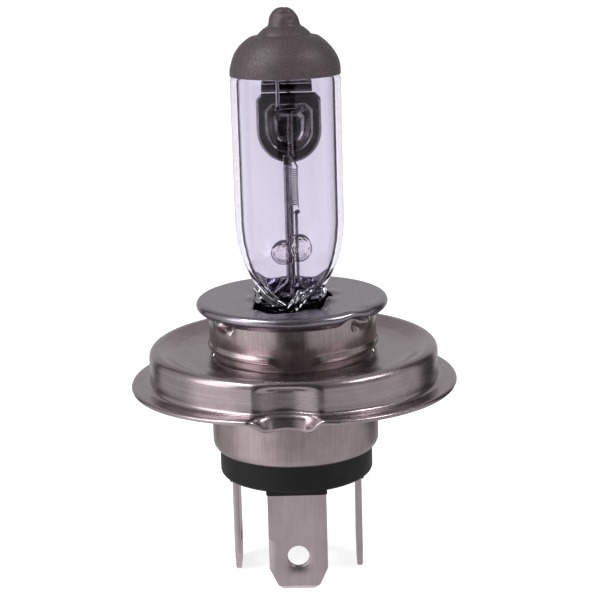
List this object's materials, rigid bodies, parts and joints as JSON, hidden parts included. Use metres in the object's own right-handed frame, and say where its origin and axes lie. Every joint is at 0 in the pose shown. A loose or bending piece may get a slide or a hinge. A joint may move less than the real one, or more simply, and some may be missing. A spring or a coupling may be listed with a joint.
{
  "type": "headlight bulb",
  "caption": "Two-filament halogen headlight bulb: a glass capsule with a coated tip on a round prefocus flange, with three contact blades below an insulating plug.",
  "frame": {"origin": "the point on the bulb's axis level with the tips of the three contact blades", "axes": "+Z along the bulb's axis from the blades to the glass tip, -Y towards the front blade and the flange's indexing dent, +X to the right seen from the front"},
  "size_m": [0.045, 0.0442, 0.0781],
  "materials": {
    "flange_steel": "pressed sheet steel, satin, warm grey, faint drawing marks",
    "shell_steel": "drawn steel tube, satin with fine upright drawing lines",
    "disc_steel": "pressed sheet steel, smooth satin",
    "spring_steel": "bright folded sheet, creased",
    "quartz_glass": "clear fused quartz, very faint lavender tint",
    "anti_glare_coat": "matte grey-brown heat-proof coat with a fine grain",
    "shield_metal": "dark polished molybdenum sheet",
    "lead_wire": "grey molybdenum wire",
    "foil_metal": "thin molybdenum foil",
    "tungsten": "bright coiled tungsten wire",
    "insulator_black": "black moulded heat-proof plastic, satin",
    "blade_metal": "stamped plated strip, satin"
  },
  "bodies": {
    "root": {"flange_ring": "flange_steel", "base_shell": "shell_steel", "focusing_sleeve": "shell_steel", "retainer_disc": "disc_steel", "pinch_clip_front": "spring_steel", "pinch_clip_rear": "spring_steel", "glass_envelope": "quartz_glass", "anti_glare_cap": "anti_glare_coat", "dipped_beam_shield": "shield_metal", "shield_top_fold": "shield_metal", "support_rod": "lead_wire", "support_clamp": "lead_wire", "dipped_lead": "lead_wire", "main_lead": "lead_wire", "dipped_filament": "tungsten", "main_filament": "tungsten", "upper_leg_clamp": "lead_wire", "middle_leg_clamp": "lead_wire", "lower_leg_clamp": "lead_wire", "quartz_bridge": "quartz_glass", "support_foil": "foil_metal", "support_outer_pin": "lead_wire", "dipped_foil": "foil_metal", "dipped_outer_pin": "lead_wire", "main_foil": "foil_metal", "main_outer_pin": "lead_wire", "insulator": "insulator_black", "blade_front": "blade_metal", "blade_left": "blade_metal", "blade_right": "blade_metal"}
  },
  "joints": []
}
